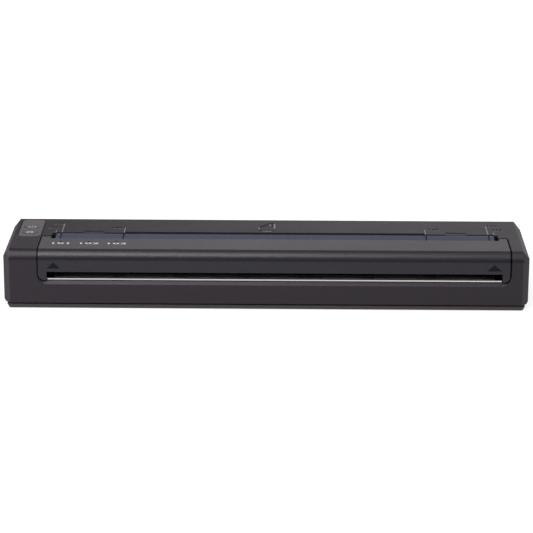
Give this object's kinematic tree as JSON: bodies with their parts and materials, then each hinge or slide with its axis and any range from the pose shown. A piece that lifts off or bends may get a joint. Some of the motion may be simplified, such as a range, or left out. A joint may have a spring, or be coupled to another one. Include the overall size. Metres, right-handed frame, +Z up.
{
  "type": "portable thermal printer",
  "caption": "Slim bar-shaped portable thermal printer for A4 sheets, with a hinged release cover, front exit slot with tear bar, keys on one end and a rear battery bay.",
  "frame": {"origin": "middle of the footprint, on the surface that the rubber feet stand on", "axes": "+X along the bar away from the key end, +Y towards the rear with the battery cover, +Z up"},
  "size_m": [0.256, 0.055, 0.03],
  "materials": {
    "case_black": "fine moulded texture, matte",
    "pan_black": "fine moulded texture, matte",
    "cover_black": "fine moulded texture, matte",
    "guide_blue": "dark blue, satin",
    "key_grey": "satin",
    "inner_black": "matte",
    "lens_smoke": "smoky, dark while unlit",
    "steel_sheet": "rolled and zinc plated",
    "steel_turned": "turned",
    "tear_steel": "brushed stainless",
    "roller_rubber": "ground rubber",
    "foot_rubber": "matte",
    "gear_plastic": "natural, moulded",
    "pinion_brass": "machined",
    "head_aluminium": "extruded",
    "head_ceramic": "glazed ceramic",
    "circuit_board": "green solder mask",
    "chip_black": "moulded",
    "film_white": "film of the flat cable, and printed marks",
    "battery_grey": "smooth",
    "contact_gold": "gold plated"
  },
  "bodies": {
    "body": {"bottom_case": "pan_black", "top_case": "case_black", "tear_bar": "tear_steel", "exit_guide": "inner_black", "chute_guide": "inner_black", "paper_sensor": "inner_black", "chassis_frame": "steel_sheet", "side_plate_left": "steel_sheet", "side_plate_right": "steel_sheet", "hinge_pins": "steel_turned", "cover_switch": "chip_black", "platen_bushes": "gear_plastic", "idler_pin": "steel_turned", "reduction_pin": "steel_turned", "motor_housing": "steel_sheet", "head_pivot": "steel_turned", "head_springs": "steel_turned", "head_cable": "film_white", "main_board": "circuit_board", "board_parts": "chip_black", "shield_can": "steel_sheet", "radio_module": "circuit_board", "battery_pack": "battery_grey", "battery_contacts": "contact_gold", "door_pins": "steel_turned", "button_panel": "key_grey", "button_board": "circuit_board", "key_switches": "chip_black", "dc_jack": "chip_black", "usb_port": "steel_turned", "rubber_feet": "foot_rubber", "case_screws": "steel_turned", "frame_screws": "steel_turned"},
    "cover": {"release_cover": "cover_black", "paper_guide": "guide_blue", "led_lenses": "lens_smoke", "led_board": "circuit_board"},
    "platen": {"platen_roller": "roller_rubber", "platen_shaft": "steel_turned", "platen_gear": "gear_plastic", "platen_clips": "steel_turned"},
    "idler": {"idler_gear": "gear_plastic"},
    "reduction": {"reduction_gear": "gear_plastic"},
    "motor": {"motor_shaft": "steel_turned", "motor_pinion": "pinion_brass"},
    "head": {"head_heatsink": "head_aluminium", "head_board": "head_ceramic", "head_cover": "chip_black"},
    "battery_door": {"battery_cover": "case_black"},
    "power_key": {"power_button": "key_grey"},
    "feed_key": {"feed_button": "key_grey"}
  },
  "joints": [
    {"name": "cover_open", "type": "hinge", "parent": "body", "child": "cover", "pos_m": [0, -0.007, 0.026], "axis": [-1, 0, 0], "range_deg": [0, 60]},
    {"name": "head_release", "type": "hinge", "parent": "body", "child": "head", "pos_m": [0, 0.0005, 0.0101], "axis": [1, 0, 0], "range_deg": [0, 4], "deforming": ["head_springs"]},
    {"name": "platen_spin", "type": "hinge", "parent": "body", "child": "platen", "pos_m": [0, -0.011, 0.02112], "axis": [1, 0, 0], "continuous": true},
    {"name": "idler_spin", "type": "hinge", "parent": "body", "child": "idler", "pos_m": [0, -0.00018, 0.01723], "axis": [1, 0, 0], "continuous": true},
    {"name": "reduction_spin", "type": "hinge", "parent": "body", "child": "reduction", "pos_m": [0, 0.0056, 0.011], "axis": [1, 0, 0], "continuous": true},
    {"name": "motor_spin", "type": "hinge", "parent": "body", "child": "motor", "pos_m": [0, 0.0155, 0.0145], "axis": [1, 0, 0], "continuous": true},
    {"name": "battery_door_open", "type": "hinge", "parent": "body", "child": "battery_door", "pos_m": [0, 0.0267, 0.0049], "axis": [-1, 0, 0], "range_deg": [0, 90]},
    {"name": "power_press", "type": "slide", "parent": "body", "child": "power_key", "axis": [0, 0, -1], "range_m": [0, 0.0005], "stiffness_N_per_m": 300, "springref_m": -0.0006},
    {"name": "feed_press", "type": "slide", "parent": "body", "child": "feed_key", "axis": [0, 0, -1], "range_m": [0, 0.0005], "stiffness_N_per_m": 300, "springref_m": -0.0006}
  ],
  "couplings": [
    {"joint": "head_release", "follows": "cover_open", "ratio": 0.066667},
    {"joint": "idler_spin", "follows": "platen_spin", "ratio": -1.0909},
    {"joint": "reduction_spin", "follows": "platen_spin", "ratio": 2},
    {"joint": "motor_spin", "follows": "platen_spin", "ratio": -6.4}
  ]
}
